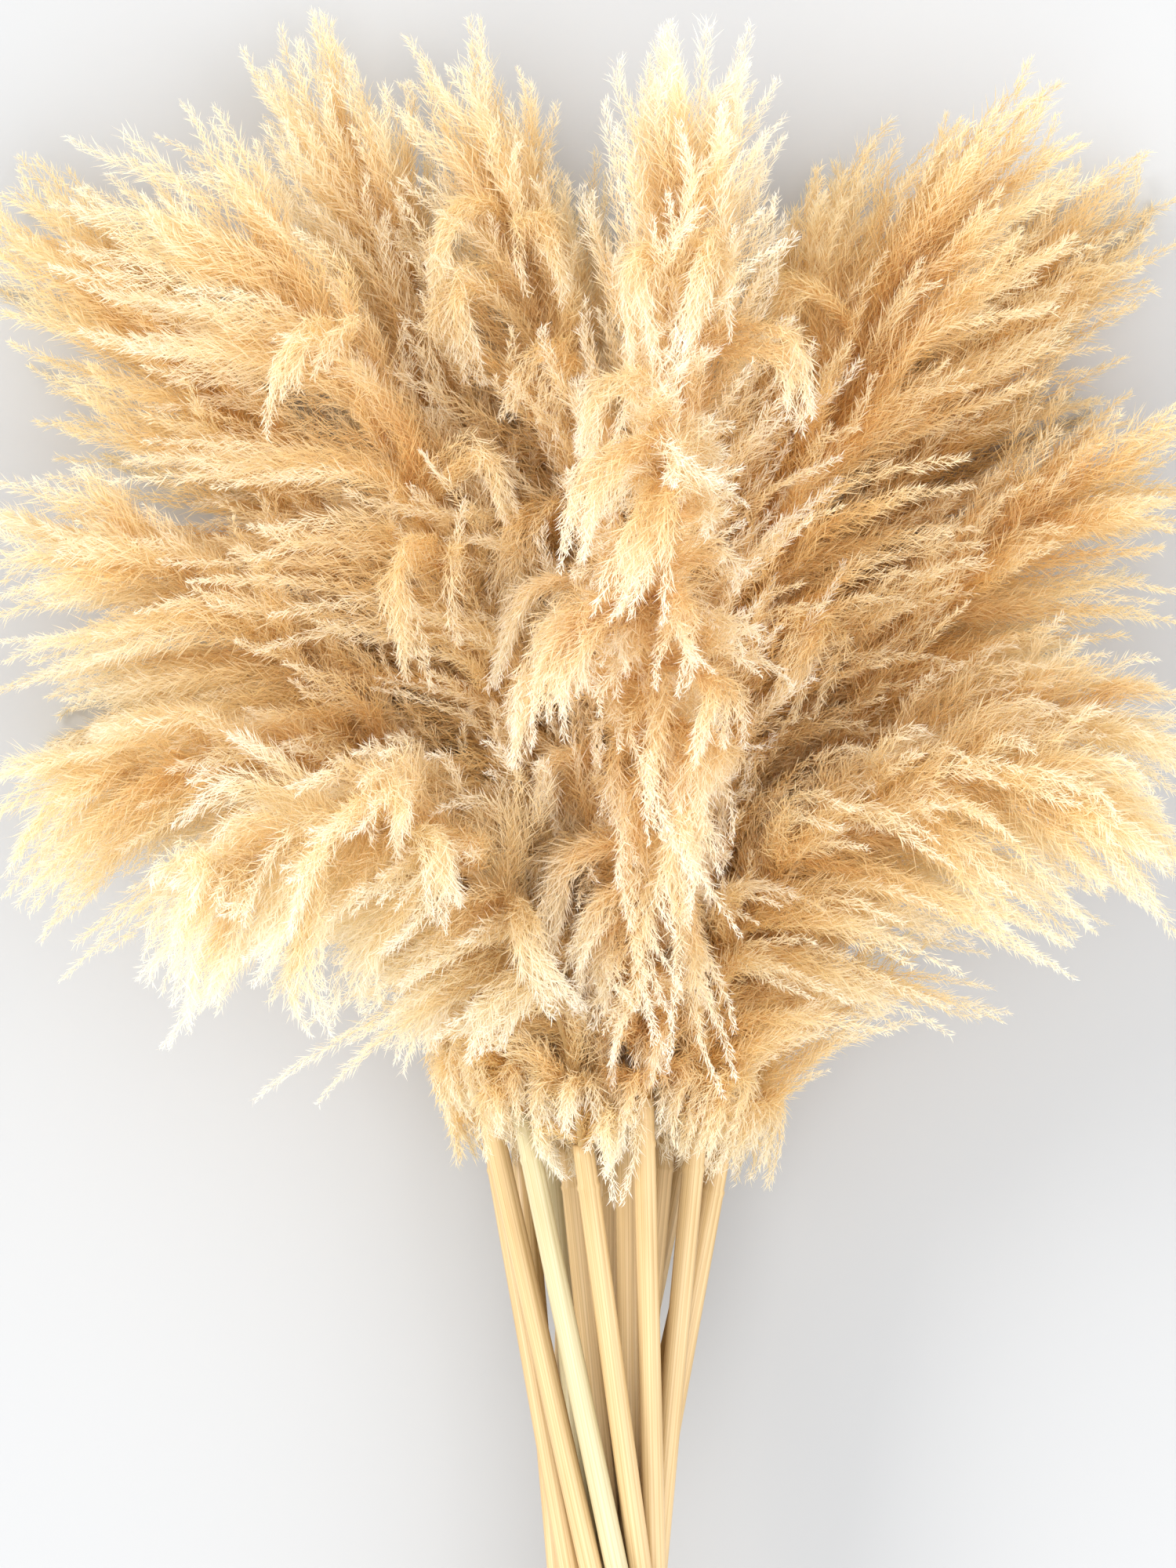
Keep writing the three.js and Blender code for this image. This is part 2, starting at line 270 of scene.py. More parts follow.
def branch_lines(name, seed):
    """All the strands of one plume, as points with their numbers."""
    side, _, length_share, girth, tone, fall = PLUMES[name]
    axis = AXES[name]
    length = PLUME_LENGTH * length_share
    draw = np.random.default_rng(seed)
    tassels = min(1, fall)  # how much the strands gather into hanging tassels
    extra_fall = max(0, fall - 1)
    primaries = round(PRIMARIES * (0.4 + 0.6 * length_share) * (1 - 0.3 * tassels))
    number = np.repeat(np.arange(primaries), STRANDS)
    count = number.size
    first = ((np.arange(primaries) + draw.random(primaries)) / primaries) ** 0.92
    # Where each strand leaves the axis, at which angle round it, and how long it is.
    start = np.clip(LAST_BRANCH * first[number] + draw.uniform(-0.02, 0.04, count), 0.002, 0.9)
    turn = GOLDEN_ANGLE * number + draw.normal(0, 0.28 - 0.12 * tassels, count)
    reach = length * np.interp(start, BRANCH_AT, BRANCH_LENGTH)
    reach *= draw.uniform(0.85, 1.15, primaries)[number] * draw.uniform(0.5, 1.05, count)
    wild = draw.random(count) < WILD_SHARE
    _, along = axis_at(axis, start)
    outward = outward_at(along, turn)
    # A branch on the side that faces up or outwards hangs over more than one underneath.
    leaning = math.radians(side)
    hang_side = np.array([0.65 * math.cos(leaning), -0.8, 0.12 * fall])
    facing = outward @ unit(np.array([math.cos(leaning), -0.4, 0.8]))
    hang = fall * (0.55 + 0.3 * tassels + (0.45 - 0.3 * tassels) * facing)
    hang = hang * draw.uniform(0.6, 1.2, primaries)[number]
    at_tip = 0.15 + 0.8 * extra_fall
    hang *= draw.uniform(0.8, 1.2, count) * np.interp(start, [0, 0.25, 0.55, 0.85], [0.3, 1, 0.8, at_tip])
    # At every step the branch follows the axis, moves out from it and hangs further over.
    u = np.linspace(0, 1, BRANCH_STEPS + 1)[None, :]
    stay = (1 - 0.55 * np.clip(hang, 0, 1.2))[:, None]
    share = start[:, None] + stay * (reach / length)[:, None] * u
    middle, _ = axis_at(axis, np.minimum(share, PAST_TIP))
    room = np.interp(np.minimum(share[:, -1], PAST_TIP), SPREAD_AT, SPREAD) * PLUME_RADIUS * girth
    spread = room * draw.uniform(0.6, 1.1, primaries)[number] * np.where(wild, WILD_SPREAD, 1)
    spread *= 1 + (0.3 - 0.2 * tassels) * draw.uniform(-1, 1, count)
    spread *= (1 - 0.1 * tassels + 0.3 * tassels * start) * (1 - 0.95 * extra_fall)
    spread = np.maximum(spread, LEAST_SPREAD)[:, None]
    out = spread * (1 - (1 - u) ** 1.5)
    swing = (0.08 + 0.02 * tassels) * reach[:, None] * np.sin(u * draw.uniform(3, 8, count)[:, None])
    curl = (0.02 + 0.04 * tassels) * reach[:, None] * np.sin(u * draw.uniform(4, 9, count)[:, None])
    points = middle + outward[:, None, :] * (out + curl * u)[..., None]
    points += np.cross(along, outward)[:, None, :] * (swing * u)[..., None]
    points += hang_side * (hang * reach)[:, None, None] * (u ** (2.1 - 0.35 * tassels))[..., None]
    # No strand hangs far below the place where the plume begins.
    over = points[..., 1] - (axis[0, 1] - HANG_BELOW)
    points[..., 1] += (np.hypot(over, HANG_BELOW) - over) / 2
    # The hairs are longest a quarter of the way out. Tassels are fuller there and thinner at the tip.
    hair_lengths = [0.8, 1.15 + 0.3 * tassels, 0.88 + 0.05 * tassels, 0.42 - 0.1 * tassels]
    fluff = np.interp(u, [0, 0.25, 0.7, 1], hair_lengths)
    fluff = fluff * draw.uniform(0.75, 1.15, (count, 1)) * (1 + 0.35 * start[:, None])
    thick = np.interp(u, [0, 1], STRAND_RADIUS) * np.ones((count, 1))
    # A strand's tone varies at random, plume by plume and branch by branch. On top of that, a branch that
    # faces up and outwards is painted paler and one underneath darker: painted light and painted shade.
    tone_and_painted_light = tone + 0.09 * draw.standard_normal(count) + 0.14 * facing
    tone_and_painted_light += (0.12 + 0.08 * tassels) * draw.standard_normal(primaries)[number]
    # A branch near the tip of the plume is painted as in the light from its root on: its colour starts
    # further out on the map, past the painted shade.
    lit = 0.6 * start[:, None]
    numbers = {
        "along": lit + (1 - lit) * u,
        "fluff": fluff,
        "thick": thick,
        "tone": np.broadcast_to(np.clip(tone_and_painted_light, *TONE_RANGE)[:, None], fluff.shape),
    }
    return kept_in(points), numbers


lines, _ = branch_lines("11", 11)
print("plume 11 has", lines.shape[0], "strands of", lines.shape[1], "points")

# %% [markdown]
# The lowest branches are different. They are short and fall back round the top of the cane, which
# makes the ragged skirt that every plume begins with. The plumes at the front also have short
# tassels that come out between the branches and hang. The axis itself grows some hairs too.


# %% Skirt, tassels and axis
SKIRT_TUFTS = 13
SKIRT_STRANDS = 5
SKIRT_TOP = 0.09  # share of the axis that the skirt grows from
SKIRT_REACH = (22, 46)  # shortest and longest tuft, in millimetres
SKIRT_GAP = 6 * MM  # keeps the tufts clear of the cane
SKIRT_RADIUS = 0.3 * MM  # of a strand
TASSELS = {"01": 18, "02": 5, "03": 12, "04": 6, "11": 14, "12": 8}  # plumes at the front only
TASSEL_STRANDS = 6
TASSEL_DROP = (36, 68)  # how far the shortest and the longest hangs, in millimetres
TASSEL_RADIUS = [0.35 * MM, 0.12 * MM]  # of a strand, at its root and at its tip


def skirt_lines(name, seed):
    """Short, curled tufts that fall back round the top of the cane."""
    _, _, _, _, tone, _ = PLUMES[name]
    axis = AXES[name]
    draw = np.random.default_rng(seed)
    tuft = np.repeat(np.arange(SKIRT_TUFTS), SKIRT_STRANDS)
    count = tuft.size
    start = draw.uniform(0.002, SKIRT_TOP, SKIRT_TUFTS)[tuft]
    turn = GOLDEN_ANGLE * tuft + draw.normal(0, 0.35, count)
    middle, along = axis_at(axis, start)
    outward = outward_at(along, turn)
    reach = (draw.uniform(*SKIRT_REACH, SKIRT_TUFTS)[tuft] * draw.uniform(0.6, 1.1, count))[:, None] * MM
    u = np.linspace(0, 1, BRANCH_STEPS + 1)[None, :]
    curl = draw.uniform(1.6, 2.9, count)[:, None]
    out = SKIRT_GAP * np.minimum(1, u * 4) + 0.6 * reach * np.sin(u * curl)
    back = reach * (0.5 * np.sin(u * math.pi) - draw.uniform(0.3, 0.9, count)[:, None] * u**2)
    swing = 0.15 * reach * np.sin(u * draw.uniform(2, 6, count)[:, None])
    points = middle[:, None, :] + outward[:, None, :] * out[..., None] + along[:, None, :] * back[..., None]
    points += np.cross(along, outward)[:, None, :] * swing[..., None]
    shape = np.ones((count, 1))
    numbers = {
        "along": np.broadcast_to(u, out.shape),
        "fluff": np.interp(u, [0, 0.5, 1], [0.8, 1.0, 0.5]) * shape,
        "thick": SKIRT_RADIUS * np.ones_like(out),
        "tone": np.clip(tone + 0.1 + draw.normal(0, 0.1, (count, 1)), *TONE_RANGE) * np.ones_like(out),
    }
    return kept_in(points), numbers


def tassel_lines(name, seed):
    """Short tassels that rise out of the front of a plume, bend over and hang down."""
    _, _, _, girth, tone, _ = PLUMES[name]
    axis = AXES[name]
    draw = np.random.default_rng(seed)
    tassels = TASSELS[name]
    tassel = np.repeat(np.arange(tassels), TASSEL_STRANDS)
    count = tassel.size
    start = np.clip(draw.uniform(0.14, 0.86, tassels)[tassel] + draw.normal(0, 0.006, count), 0, 0.9)
    turn = math.pi / 2 + draw.normal(0, 0.75, tassels)[tassel] + draw.normal(0, 0.12, count)
    middle, along = axis_at(axis, start)
    outward = outward_at(along, turn)
    lean = draw.normal(-0.25, 0.45, tassels)[tassel] + draw.normal(0, 0.12, count)
    down = unit(np.stack([lean, -np.ones(count), np.full(count, -0.15)], 1))
    lift = np.interp(start, SPREAD_AT, SPREAD) * PLUME_RADIUS * girth
    lift = (lift * draw.uniform(0.75, 1.1, tassels)[tassel])[:, None]
    drop = (draw.uniform(*TASSEL_DROP, tassels)[tassel] * draw.uniform(0.6, 1.1, count))[:, None] * MM
    u = np.linspace(0, 1, BRANCH_STEPS + 1)[None, :]
    out = lift * np.sin(np.minimum(1, 1.5 * u) * math.pi / 2)
    ahead = 0.5 * drop * np.sin(u * math.pi * 0.9)
    swing = 0.09 * drop * np.sin(u * draw.uniform(3, 8, count)[:, None])
    points = middle[:, None, :] + outward[:, None, :] * out[..., None]
    points += along[:, None, :] * ahead[..., None]
    points += down[:, None, :] * (drop * u**1.8)[..., None]
    points += np.cross(along, outward)[:, None, :] * swing[..., None]
    shape = np.ones((count, 1))
    fluff = np.interp(u, [0, 0.5, 0.8, 1], [0.7, 1.15, 1.0, 0.4]) * draw.uniform(0.85, 1.15, (count, 1))
    # Tassels are paler than their plume, partly their own colour and partly a painted highlight, since they
    # lie on top in the light. Their colour map starts at 0.3, so their roots get less painted shade.
    tassel_tone_and_highlight = np.clip(tone + 0.14 + draw.normal(0, 0.12, tassels)[tassel], 0.08, 0.95)
    numbers = {
        "along": 0.3 + 0.7 * u * shape,
        "fluff": fluff,
        "thick": np.interp(u, [0, 1], TASSEL_RADIUS) * shape,
        "tone": tassel_tone_and_highlight[:, None] * np.ones_like(out),
    }
    return kept_in(points), numbers


def axis_line(name):
    """The axis as one more strand, nearly as thick as the cane at its start and thin at its tip."""
    _, _, _, _, tone, _ = PLUMES[name]
    _, (_, cane_radius) = CANES[name]
    u = np.linspace(0, 1, 40)[None, :]
    points, _ = axis_at(AXES[name], u[0])
    thick = np.interp(u, [0, 0.05, 0.6, 1], [cane_radius * 0.85, 4 * MM, 1 * MM, 0.3 * MM])
    numbers = {
        "along": u,
        "fluff": np.interp(u, [0, 1], [0.9, 1.0]),
        "thick": thick,
        "tone": np.full_like(u, tone),
    }
    return points[None], numbers


lines, _ = skirt_lines("11", 111)
print("its skirt has", lines.shape[0], "strands")


# %% Join lines to a mesh
def line_mesh(name, parts):
    """One mesh of bare edges from (points, numbers) pairs, with the numbers on its points."""
    places, edges, values = [], [], {}
    total = 0
    for points, numbers in parts:
        rows, columns = points.shape[:2]
        index = total + np.arange(rows * columns).reshape(rows, columns)
        edges.append(np.stack([index[:, :-1].ravel(), index[:, 1:].ravel()], 1))
        places.append(points.reshape(-1, 3))
        total += rows * columns
        for key, value in numbers.items():
            values.setdefault(key, []).append(np.ravel(value))
    mesh = bpy.data.meshes.new(name)
    mesh.from_pydata(np.concatenate(places).tolist(), np.concatenate(edges).tolist(), [])
    for key, value in values.items():
        mesh.attributes.new(key, "FLOAT", "POINT").data.foreach_set("value", np.concatenate(value))
    return mesh


# %% [markdown]
# ## Growing the hairs
#
# The hairs are far too many to place one by one, so Geometry Nodes grow them. The tree turns the
# bare edges into curves, drops a point every fraction of a millimetre, and sets one slim triangle
# on each point. Every hair leans away from its branch by up to 50 degrees and is turned round it at
# random. The triangles are made real before the last steps, because those move every corner: they
# press what would pass through the table down onto it.
#
# The tree also gives the hairs a map for their colour. Its first coordinate is the tone, and its
# second runs from the root of a branch to the tips of its hairs, from painted shade deep in the plume
# to a partly painted highlight at the tips. The colour of the hairs depends on these two numbers alone.


# %% Node helpers
def add(tree, kind, inputs=None, **settings):
    """Adds a node, sets its settings, and sets or links its inputs, by name or by number."""
    node = tree.nodes.new(kind)
    for key, value in settings.items():
        setattr(node, key, value)
    for key, value in (inputs or {}).items():
        if isinstance(value, bpy.types.NodeSocket):
            tree.links.new(value, node.inputs[key])
        else:
            node.inputs[key].default_value = value
    return node


def random_value(tree, low, high, seed):
    """A random number for every point, between two values or sockets."""
    node = add(tree, "FunctionNodeRandomValue", data_type="FLOAT")
    for socket, value in ((node.inputs[2], low), (node.inputs[3], high)):
        if isinstance(value, bpy.types.NodeSocket):
            tree.links.new(value, socket)
        else:
            socket.default_value = value
    tree.links.new(seed, node.inputs["Seed"])
    return node.outputs[1]


def named(tree, name):
    """One of the numbers that the points carry."""
    node = add(tree, "GeometryNodeInputNamedAttribute", {"Name": name}, data_type="FLOAT")
    return node.outputs["Attribute"]


def stored(tree, geometry, name, value, kind="FLOAT", domain="POINT"):
    """The geometry with one more number on its points, or on another domain."""
    inputs = {"Geometry": geometry, "Name": name, "Value": value}
    node = add(tree, "GeometryNodeStoreNamedAttribute", inputs, data_type=kind, domain=domain)
    return node.outputs[0]


def maths(tree, operation, *values):
    """The result of a sum or another operation on values or sockets."""
    node = add(tree, "ShaderNodeMath", dict(enumerate(values)), operation=operation)
    return node.outputs[0]


def new_tree(name, sockets):
    """A tree with a geometry input and output and the named inputs."""
    tree = bpy.data.node_groups.new(name, "GeometryNodeTree")
    tree.interface.new_socket("Geometry", in_out="INPUT", socket_type="NodeSocketGeometry")
    for label, kind, value in sockets:
        socket = tree.interface.new_socket(label, in_out="INPUT", socket_type=kind)
        if value is not None:
            socket.default_value = value
    tree.interface.new_socket("Geometry", in_out="OUTPUT", socket_type="NodeSocketGeometry")
    return tree, tree.nodes.new("NodeGroupInput"), tree.nodes.new("NodeGroupOutput")


# %% Hair tree
HAIR_INPUTS = [
    ("Spacing", "NodeSocketFloat", 0.40 * MM),
    ("Hair Length", "NodeSocketFloat", 13 * MM),
    ("Hair Width", "NodeSocketFloat", 0.6 * MM),
    ("Lean", "NodeSocketFloat", math.radians(50)),
    ("Scatter", "NodeSocketFloat", 3.6 * MM),
    ("Seed", "NodeSocketInt", 0),
    ("Material", "NodeSocketMaterial", None),
]
STRAND_SIDES = 3
STRAND_POINTS = 8
LEAST_HAIR, MOST_HAIR = 0.55, 1.1  # shares of the hair length
LOWEST_HAIR, HIGHEST_PRESSED = 0.4 * MM, 5 * MM  # heights of pressed hairs over the table
# The second coordinate of the colour map is START + ALONG * along + TIP * tip, all inside 0 to 1.
MAP_START, MAP_ALONG, MAP_TIP = 0.02, 0.72, 0.24
MAP_WIDTH = 0.006  # half the width of a hair, on the first coordinate
TONE_VARIES = 0.07  # from hair to hair
BLADE_WIDENED = 1.7  # makes the side of a blade run from about -1 to 1


def hair_tree():
    """The node tree that grows hairs on every strand."""
    tree, given, result = new_tree("Hairs on branches", HAIR_INPUTS)
    seed = given.outputs["Seed"]
    seeds = [maths(tree, "ADD", seed, float(100 * k)) for k in range(8)]
    curves = add(tree, "GeometryNodeMeshToCurve", {"Mesh": given.outputs["Geometry"]})
    # The branches themselves: three-sided, with the thickness that their points carry.
    ring = add(tree, "GeometryNodeCurvePrimitiveCircle", {"Resolution": STRAND_SIDES, "Radius": 1.0})
    corner = maths(tree, "SUBTRACT", add(tree, "GeometryNodeInputIndex").outputs[0], 1.0)
    ring = stored(tree, ring.outputs[0], "side", corner)
    resampled = {"Curve": curves.outputs[0], "Count": STRAND_POINTS}
    coarse = add(tree, "GeometryNodeResampleCurve", resampled, mode="COUNT")
    radius = {"Curve": coarse.outputs[0], "Radius": named(tree, "thick")}
    sized = add(tree, "GeometryNodeSetCurveRadius", radius)
    twigs = add(
        tree,
        "GeometryNodeCurveToMesh",
        {
            "Curve": sized.outputs[0],
            "Profile Curve": ring,
            "Scale": named(tree, "thick"),
            "Fill Caps": False,
        },
    )
    # The points that the hairs grow from, scattered a little round the branch.
    points = add(
        tree,
        "GeometryNodeCurveToPoints",
        {"Curve": curves.outputs[0], "Length": given.outputs["Spacing"]},
        mode="LENGTH",
    )
    loose = maths(tree, "MULTIPLY", given.outputs["Scatter"], named(tree, "fluff"))
    shift = add(tree, "ShaderNodeCombineXYZ")
    less = maths(tree, "MULTIPLY", loose, -1.0)
    for axis in range(3):
        tree.links.new(random_value(tree, less, loose, seeds[axis]), shift.inputs[axis])
    moved = add(
        tree,
        "GeometryNodeSetPosition",
        {"Geometry": points.outputs["Points"], "Offset": shift.outputs[0]},
    )
    tone = random_value(tree, -TONE_VARIES, TONE_VARIES, seeds[3])
    tone = maths(tree, "ADD", named(tree, "tone"), tone)
    toned = stored(tree, moved.outputs[0], "tone", tone)
    # One hair: a triangle from the origin up to one metre, scaled down where it is set.
    blade = add(tree, "GeometryNodeMeshCircle", {"Vertices": 3, "Radius": 2 / 3}, fill_type="NGON")
    place = add(tree, "GeometryNodeInputPosition").outputs[0]
    parts = add(tree, "ShaderNodeSeparateXYZ", {0: place})
    # Mesh Circle sets its first corner straight ahead of the origin, along +Y.
    height = maths(tree, "ADD", parts.outputs["Y"], 1 / 3)
    upright = add(tree, "ShaderNodeCombineXYZ", {"X": parts.outputs["X"], "Y": 0.0, "Z": height})
    stood_up = {"Geometry": blade.outputs[0], "Position": upright.outputs[0]}
    blade = add(tree, "GeometryNodeSetPosition", stood_up).outputs[0]
    # Read after the move, so X runs across the blade and Z from its foot to its tip.
    across = maths(tree, "MULTIPLY", parts.outputs["X"], BLADE_WIDENED)
    for label, value in (("side", across), ("tip", parts.outputs["Z"])):
        blade = stored(tree, blade, label, value)
    long = maths(tree, "MULTIPLY", given.outputs["Hair Length"], named(tree, "fluff"))
    long = maths(tree, "MULTIPLY", long, random_value(tree, LEAST_HAIR, MOST_HAIR, seeds[4]))
    size = add(tree, "ShaderNodeCombineXYZ", {"X": given.outputs["Hair Width"], "Y": 1.0, "Z": long})
    spin = random_value(tree, 0.0, math.tau, seeds[5])
    lean = maths(tree, "MULTIPLY", given.outputs["Lean"], random_value(tree, 0.25, 1.0, seeds[6]))
    roll = random_value(tree, 0.0, math.pi, seeds[7])
    turn = points.outputs["Rotation"]
    for x, z in ((lean, spin), (0.0, roll)):
        euler = add(tree, "ShaderNodeCombineXYZ", {"X": x, "Z": z})
        step = add(tree, "FunctionNodeEulerToRotation", {0: euler.outputs[0]})
        turned = add(
            tree,
            "FunctionNodeRotateRotation",
            {"Rotation": turn, "Rotate By": step.outputs[0]},
            rotation_space="LOCAL",
        )
        turn = turned.outputs[0]
    hairs = add(
        tree,
        "GeometryNodeInstanceOnPoints",
        {
            "Points": toned,
            "Instance": blade,
            "Rotation": turn,
            "Scale": size.outputs[0],
        },
    )
    real = add(tree, "GeometryNodeRealizeInstances", {"Geometry": hairs.outputs[0]})
    both = add(tree, "GeometryNodeJoinGeometry")
    tree.links.new(real.outputs[0], both.inputs[0])
    tree.links.new(twigs.outputs[0], both.inputs[0])
    # The table: nothing goes lower, and pressed hairs lie at slightly different heights.
    place = add(tree, "ShaderNodeSeparateXYZ", {0: add(tree, "GeometryNodeInputPosition").outputs[0]})
    lowest = random_value(tree, LOWEST_HAIR, HIGHEST_PRESSED, seeds[0])
    pressed = maths(tree, "MAXIMUM", place.outputs["Z"], lowest)
    laid = add(
        tree,
        "ShaderNodeCombineXYZ",
        {"X": place.outputs["X"], "Y": place.outputs["Y"], "Z": pressed},
    )
    laid = add(tree, "GeometryNodeSetPosition", {"Geometry": both.outputs[0], "Position": laid.outputs[0]})
    # A hair is a little wide on the colour map too, or its face there would have no area.
    across = maths(tree, "MULTIPLY", named(tree, "side"), MAP_WIDTH)
    first = maths(tree, "ADD", named(tree, "tone"), across)
    second = maths(tree, "MULTIPLY", named(tree, "along"), MAP_ALONG)
    second = maths(tree, "ADD", second, maths(tree, "MULTIPLY", named(tree, "tip"), MAP_TIP))
    second = maths(tree, "ADD", second, MAP_START)
    colour_map = add(tree, "ShaderNodeCombineXYZ", {"X": first, "Y": second})
    mapped = stored(tree, laid.outputs[0], "OFBake", colour_map.outputs[0], "FLOAT2", "CORNER")
    dressed = {"Geometry": mapped, "Material": given.outputs["Material"]}
    finished = add(tree, "GeometryNodeSetMaterial", dressed)
    tree.links.new(finished.outputs[0], result.inputs[0])
    return tree


HAIRS = hair_tree()
print("hair tree with", len(HAIRS.nodes), "nodes")


# %% Run a tree
def grow(name, mesh, tree, settings):
    """Runs a tree on a mesh and returns the result as a plain mesh object of that name."""
    seedling = bpy.data.objects.new(name + "_lines", mesh)
    bpy.context.scene.collection.objects.link(seedling)
    modifier = seedling.modifiers.new("Growth", "NODES")
    modifier.node_group = tree
    for item in tree.interface.items_tree:
        if item.in_out == "INPUT" and item.name in settings:
            modifier[item.identifier] = settings[item.name]
    evaluated = seedling.evaluated_get(bpy.context.evaluated_depsgraph_get())
    grown = bpy.data.meshes.new_from_object(evaluated)
    bpy.data.objects.remove(seedling)
    piece = bpy.data.objects.new(name, grown)
    bpy.context.scene.collection.objects.link(piece)
    return piece


# %% [markdown]
# ## Straw and silk
#
# The hairs of a dry plume let light through, so each material mixes a rough, faintly shiny surface
# with a translucent one. Deep in the plume the colour is painted amber: painted shade, for the light
# that reaches it only through other hairs. The tips fade to cream and nearly white, partly their own
# pale colour and partly a painted highlight. Two colour ramps over the tone give the deep and the
# outer colour, and the second coordinate of the colour map mixes them.


# %% Plume material
# Below where the outer colour begins, the hairs have the deep colour, which is painted shade. The fade to
# the tip colour is partly a painted highlight.
OUTWARDS = (0.1, 0.75)  # second coordinate where the outer colour begins and where it is full
FADE = 0.3  # length of the fade to the tip colour, on the same coordinate
GLOW = 0.5  # share of the light that goes through a hair
THROUGH = (1.0, 0.92, 0.68)  # what the light is tinted with on its way through


def ramp(tree, factor, stops):
    """A colour ramp with (position, colour) stops."""
    node = add(tree, "ShaderNodeValToRGB", {0: factor})
    elements = node.color_ramp.elements
    while len(elements) < len(stops):
        elements.new(0.5)
    for element, (position, colour) in zip(elements, stops):
        element.position = position
        element.color = (*colour, 1)
    return node.outputs[0]


def mixed(tree, factor, a, b, blend="MIX"):
    """Two colours, mixed or blended by a factor."""
    node = tree.nodes.new("ShaderNodeMix")
    node.data_type = "RGBA"
    node.blend_type = blend
    for socket, value in ((node.inputs[0], factor), (node.inputs[6], a), (node.inputs[7], b)):
        if isinstance(value, bpy.types.NodeSocket):
            tree.links.new(value, socket)
        elif isinstance(value, tuple):
            socket.default_value = (*value, 1)
        else:
            socket.default_value = value
    return node.outputs[2]


def new_material(name):
    """A new material, its node tree and its surface shader."""
    material = bpy.data.materials.new(name)
    material.use_nodes = True
    return material, material.node_tree, material.node_tree.nodes["Principled BSDF"]


def plume_material(name, deep, outer, tip, tip_pale_and_highlight_from):
    """Hairs that let light through, with painted shade in their deep colour, fading to the tip colour,
    partly a painted highlight, from tip_pale_and_highlight_from outwards.
    """
    material, tree, shader = new_material(name)
    surface = tree.nodes["Material Output"]
    spot = add(tree, "ShaderNodeUVMap", uv_map="OFBake")
    parts = add(tree, "ShaderNodeSeparateXYZ", {0: spot.outputs[0]})
    # The deep colour is painted shade: amber where light reaches the hairs only through other hairs. The
    # tip colour is partly the hairs' own pale colour and partly a painted highlight.
    deep_colour = ramp(tree, parts.outputs["X"], deep)
    outer_colour = ramp(tree, parts.outputs["X"], outer)
    colour = deep_colour
    for outer_one, begin, end in (
        (outer_colour, *OUTWARDS),
        (tip, tip_pale_and_highlight_from, tip_pale_and_highlight_from + FADE),
    ):
        limits = {"Value": parts.outputs["Y"], "From Min": begin, "From Max": end}
        share = add(tree, "ShaderNodeMapRange", limits)
        colour = mixed(tree, share.outputs[0], colour, outer_one)
    tree.links.new(colour, shader.inputs["Base Color"])
    shader.inputs["Roughness"].default_value = 0.75
    shader.inputs["Specular IOR Level"].default_value = 0.2
    shader.inputs["Sheen Weight"].default_value = 0.12
    through = mixed(tree, 1.0, colour, THROUGH, "MULTIPLY")
    glow = add(tree, "ShaderNodeBsdfTranslucent", {"Color": through})
    both = add(tree, "ShaderNodeMixShader", {0: GLOW, 1: shader.outputs[0], 2: glow.outputs[0]})
    tree.links.new(both.outputs[0], surface.inputs["Surface"])
    return material


# In each finish the deep ramp is painted shade, and the tip colour, with where its fade begins, is partly a
# painted highlight.
PLUME_SLOTS = {
    "plume_gold": plume_material(
        "plume_gold",
        deep=[(0.0, (0.61, 0.32, 0.05)), (0.5, (0.80, 0.49, 0.12)), (1.0, (0.89, 0.65, 0.26))],
        outer=[(0.0, (0.80, 0.60, 0.29)), (0.5, (0.92, 0.75, 0.45)), (1.0, (0.96, 0.87, 0.65))],
        tip=(0.97, 0.90, 0.73),
        tip_pale_and_highlight_from=0.6,
    ),
    "plume_cream": plume_material(
        "plume_cream",
        deep=[(0.0, (0.67, 0.37, 0.07)), (0.5, (0.84, 0.55, 0.17)), (1.0, (0.92, 0.72, 0.34))],
        outer=[(0.0, (0.87, 0.69, 0.39)), (0.5, (0.94, 0.81, 0.55)), (1.0, (0.97, 0.91, 0.76))],
        tip=(0.99, 0.96, 0.88),
        tip_pale_and_highlight_from=0.6,
    ),
    "plume_pale": plume_material(
        "plume_pale",
        deep=[(0.0, (0.70, 0.40, 0.10)), (0.5, (0.85, 0.59, 0.22)), (1.0, (0.93, 0.77, 0.43))],
        outer=[(0.0, (0.90, 0.75, 0.47)), (0.5, (0.96, 0.87, 0.67)), (1.0, (0.98, 0.95, 0.86))],
        tip=(0.99, 0.985, 0.97),
        tip_pale_and_highlight_from=0.56,
    ),
}
print("plume finishes", list(PLUME_SLOTS))

# %% [markdown]
# ## The plumes
#
# Every plume runs through the same tree with its own seed. The result is a plain mesh that takes
# the place of one CAD solid and has that solid's finish.

# %% Grow the plumes
SLOT_OF = {entry["node"]: entry["material_slot"] for entry in frame["record"]["subparts"]}


def join_meshes(name, pieces):
    """Joins objects into the first one and gives it the name."""
    with bpy.context.temp_override(
        active_object=pieces[0], selected_editable_objects=pieces, selected_objects=pieces
    ):
        bpy.ops.object.join()
    pieces[0].name = name
    return pieces[0]


def plume(name):
    """Grows one plume and puts it in place of its CAD solid."""
    slot = SLOT_OF["plume_" + name]
    seed = int(name)
    parts = [branch_lines(name, seed), skirt_lines(name, 100 + seed), axis_line(name)]
    if name in TASSELS:
        parts.append(tassel_lines(name, 200 + seed))
    mesh = line_mesh("branches_" + name, parts)
    piece = grow("pampas_plume_" + name, mesh, HAIRS, {"Seed": seed, "Material": PLUME_SLOTS[slot]})
    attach(piece, "root")
    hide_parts("plume_" + name)
    return piece


total = 0
for name in NAMES:
    piece = plume(name)
    total += len(piece.data.polygons)
    print(piece.name, len(piece.data.polygons), "faces")
print("faces in all plumes", total)

